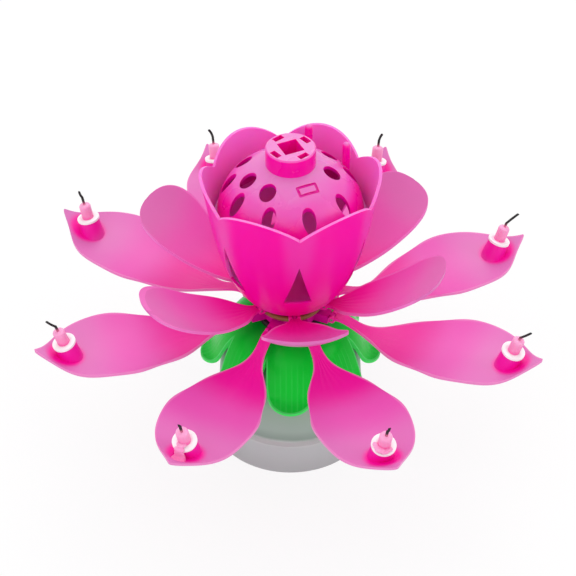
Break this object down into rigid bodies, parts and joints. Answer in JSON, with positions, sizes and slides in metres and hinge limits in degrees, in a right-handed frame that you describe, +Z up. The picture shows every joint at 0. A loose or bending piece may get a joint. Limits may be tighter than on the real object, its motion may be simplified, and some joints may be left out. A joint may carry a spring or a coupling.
{
  "type": "musical birthday candle",
  "caption": "Open flower on a round battery base: hinged petals carrying small wax candles, inner petals, a cup and a pierced seed dome that turns on a spindle.",
  "frame": {"origin": "centre of the base's underside", "axes": "+Z up along the spindle, -Y towards the picture's viewer, +X to their right"},
  "size_m": [0.2005, 0.2002, 0.1438],
  "materials": {
    "frosted_grey": "frosted translucent grey moulding",
    "dark_plastic": "matt",
    "steel": "plain",
    "brass": "plain",
    "board_green": "solder mask",
    "white_plastic": "plain nylon",
    "black_plastic": "matt",
    "leaf_green": "glossy, finely ribbed",
    "magenta_deep": "glossy",
    "petal_pink": "satin, deeper at the stem, pale at the edge",
    "pink_dome": "satin",
    "disc_white": "plain card",
    "wax": "paraffin wax, slightly translucent",
    "wick": "cotton, waxed",
    "band_rubber": "natural rubber"
  },
  "bodies": {
    "root": {"base_shell": "frosted_grey", "base_plate": "dark_plastic", "base_screws": "steel", "button_cells": "steel", "battery_contacts": "brass", "sounder": "brass", "circuit_board": "board_green", "motor_bracket": "dark_plastic", "motor": "steel", "bearing_collar": "black_plastic", "calyx": "leaf_green"},
    "rotor": {"spindle": "steel", "drive_gear": "white_plastic", "petal_hub": "magenta_deep", "outer_hinge_pins": "steel", "inner_hinge_pins": "steel", "rubber_band": "band_rubber", "flower_cup": "magenta_deep", "seed_dome": "pink_dome"},
    "pinion": {"motor_pinion": "white_plastic"},
    "slider": {"switch_slider": "black_plastic"},
    "outer_arm_1": {"outer_petal_1": "petal_pink", "drip_disc_1": "disc_white", "candle_1": "wax", "wick_1": "wick"},
    "outer_arm_2": {"outer_petal_2": "petal_pink", "drip_disc_2": "disc_white", "candle_2": "wax", "wick_2": "wick"},
    "outer_arm_3": {"outer_petal_3": "petal_pink", "drip_disc_3": "disc_white", "candle_3": "wax", "wick_3": "wick"},
    "outer_arm_4": {"outer_petal_4": "petal_pink", "drip_disc_4": "disc_white", "candle_4": "wax", "wick_4": "wick"},
    "outer_arm_5": {"outer_petal_5": "petal_pink", "drip_disc_5": "disc_white", "candle_5": "wax", "wick_5": "wick"},
    "outer_arm_6": {"outer_petal_6": "petal_pink", "drip_disc_6": "disc_white", "candle_6": "wax", "wick_6": "wick"},
    "outer_arm_7": {"outer_petal_7": "petal_pink", "drip_disc_7": "disc_white", "candle_7": "wax", "wick_7": "wick"},
    "outer_arm_8": {"outer_petal_8": "petal_pink", "drip_disc_8": "disc_white", "candle_8": "wax", "wick_8": "wick"},
    "inner_arm_1": {"inner_petal_1": "petal_pink"},
    "inner_arm_2": {"inner_petal_2": "petal_pink"},
    "inner_arm_3": {"inner_petal_3": "petal_pink"},
    "inner_arm_4": {"inner_petal_4": "petal_pink"},
    "inner_arm_5": {"inner_petal_5": "petal_pink"},
    "inner_arm_6": {"inner_petal_6": "petal_pink"}
  },
  "joints": [
    {"name": "flower_spin", "type": "hinge", "parent": "root", "child": "rotor", "pos_m": [0, 0, 0.0643], "axis": [0, 0, 1], "continuous": true},
    {"name": "pinion_spin", "type": "hinge", "parent": "root", "child": "pinion", "pos_m": [0.01808, 0, 0.0345], "axis": [0, 0, 1], "continuous": true},
    {"name": "switch_slide", "type": "slide", "parent": "root", "child": "slider", "axis": [1, 0, 0], "range_m": [0, 0.002]},
    {"name": "outer_petal_1_fold", "type": "hinge", "parent": "rotor", "child": "outer_arm_1", "pos_m": [-0.01803, -0.00688, 0.0643], "axis": [-0.3567, 0.9342, 0], "range_deg": [0, 62], "stiffness_Nm_per_rad": 0.001, "springref_deg": -28.65},
    {"name": "outer_petal_2_fold", "type": "hinge", "parent": "rotor", "child": "outer_arm_2", "pos_m": [-0.00788, -0.01762, 0.0643], "axis": [-0.9128, 0.4083, 0], "range_deg": [0, 57], "stiffness_Nm_per_rad": 0.001, "springref_deg": -28.65},
    {"name": "outer_petal_3_fold", "type": "hinge", "parent": "rotor", "child": "outer_arm_3", "pos_m": [0.00688, -0.01803, 0.0643], "axis": [-0.9342, -0.3567, 0], "range_deg": [0, 62], "stiffness_Nm_per_rad": 0.001, "springref_deg": -28.65},
    {"name": "outer_petal_4_fold", "type": "hinge", "parent": "rotor", "child": "outer_arm_4", "pos_m": [0.01762, -0.00788, 0.0643], "axis": [-0.4083, -0.9128, 0], "range_deg": [0, 57], "stiffness_Nm_per_rad": 0.001, "springref_deg": -28.65},
    {"name": "outer_petal_5_fold", "type": "hinge", "parent": "rotor", "child": "outer_arm_5", "pos_m": [0.01803, 0.00688, 0.0643], "axis": [0.3567, -0.9342, 0], "range_deg": [0, 64.5], "stiffness_Nm_per_rad": 0.001, "springref_deg": -28.65},
    {"name": "outer_petal_6_fold", "type": "hinge", "parent": "rotor", "child": "outer_arm_6", "pos_m": [0.00788, 0.01762, 0.0643], "axis": [0.9128, -0.4083, 0], "range_deg": [0, 57], "stiffness_Nm_per_rad": 0.001, "springref_deg": -28.65},
    {"name": "outer_petal_7_fold", "type": "hinge", "parent": "rotor", "child": "outer_arm_7", "pos_m": [-0.00688, 0.01803, 0.0643], "axis": [0.9342, 0.3567, 0], "range_deg": [0, 62], "stiffness_Nm_per_rad": 0.001, "springref_deg": -28.65},
    {"name": "outer_petal_8_fold", "type": "hinge", "parent": "rotor", "child": "outer_arm_8", "pos_m": [-0.01762, 0.00788, 0.0643], "axis": [0.4083, 0.9128, 0], "range_deg": [0, 53], "stiffness_Nm_per_rad": 0.001, "springref_deg": -28.65},
    {"name": "inner_petal_1_fold", "type": "hinge", "parent": "rotor", "child": "inner_arm_1", "pos_m": [-0.01278, -0.00929, 0.0701], "axis": [-0.5878, 0.809, 0], "range_deg": [0, 35], "stiffness_Nm_per_rad": 0.001, "springref_deg": -28.65},
    {"name": "inner_petal_2_fold", "type": "hinge", "parent": "rotor", "child": "inner_arm_2", "pos_m": [0.00165, -0.01571, 0.0701], "axis": [-0.9945, -0.1045, 0], "range_deg": [0, 27.7], "stiffness_Nm_per_rad": 0.001, "springref_deg": -28.65},
    {"name": "inner_petal_3_fold", "type": "hinge", "parent": "rotor", "child": "inner_arm_3", "pos_m": [0.01443, -0.00643, 0.0701], "axis": [-0.4067, -0.9135, 0], "range_deg": [0, 28.5], "stiffness_Nm_per_rad": 0.001, "springref_deg": -28.65},
    {"name": "inner_petal_4_fold", "type": "hinge", "parent": "rotor", "child": "inner_arm_4", "pos_m": [0.01278, 0.00929, 0.0701], "axis": [0.5878, -0.809, 0], "range_deg": [0, 30], "stiffness_Nm_per_rad": 0.001, "springref_deg": -28.65},
    {"name": "inner_petal_5_fold", "type": "hinge", "parent": "rotor", "child": "inner_arm_5", "pos_m": [-0.00165, 0.01571, 0.0701], "axis": [0.9945, 0.1045, 0], "range_deg": [0, 30], "stiffness_Nm_per_rad": 0.001, "springref_deg": -28.65},
    {"name": "inner_petal_6_fold", "type": "hinge", "parent": "rotor", "child": "inner_arm_6", "pos_m": [-0.01443, 0.00643, 0.0701], "axis": [0.4067, 0.9135, 0], "range_deg": [0, 30], "stiffness_Nm_per_rad": 0.001, "springref_deg": -28.65}
  ],
  "couplings": [
    {"joint": "pinion_spin", "follows": "flower_spin", "ratio": -4},
    {"joint": "outer_petal_2_fold", "follows": "outer_petal_1_fold", "ratio": 0.91936},
    {"joint": "outer_petal_3_fold", "follows": "outer_petal_1_fold", "ratio": 1},
    {"joint": "outer_petal_4_fold", "follows": "outer_petal_1_fold", "ratio": 0.91936},
    {"joint": "outer_petal_5_fold", "follows": "outer_petal_1_fold", "ratio": 1.0403},
    {"joint": "outer_petal_6_fold", "follows": "outer_petal_1_fold", "ratio": 0.91936},
    {"joint": "outer_petal_7_fold", "follows": "outer_petal_1_fold", "ratio": 1},
    {"joint": "outer_petal_8_fold", "follows": "outer_petal_1_fold", "ratio": 0.85484},
    {"joint": "inner_petal_1_fold", "follows": "outer_petal_1_fold", "ratio": 0.56452},
    {"joint": "inner_petal_2_fold", "follows": "outer_petal_1_fold", "ratio": 0.44677},
    {"joint": "inner_petal_3_fold", "follows": "outer_petal_1_fold", "ratio": 0.45968},
    {"joint": "inner_petal_4_fold", "follows": "outer_petal_1_fold", "ratio": 0.48387},
    {"joint": "inner_petal_5_fold", "follows": "outer_petal_1_fold", "ratio": 0.48387},
    {"joint": "inner_petal_6_fold", "follows": "outer_petal_1_fold", "ratio": 0.48387}
  ]
}
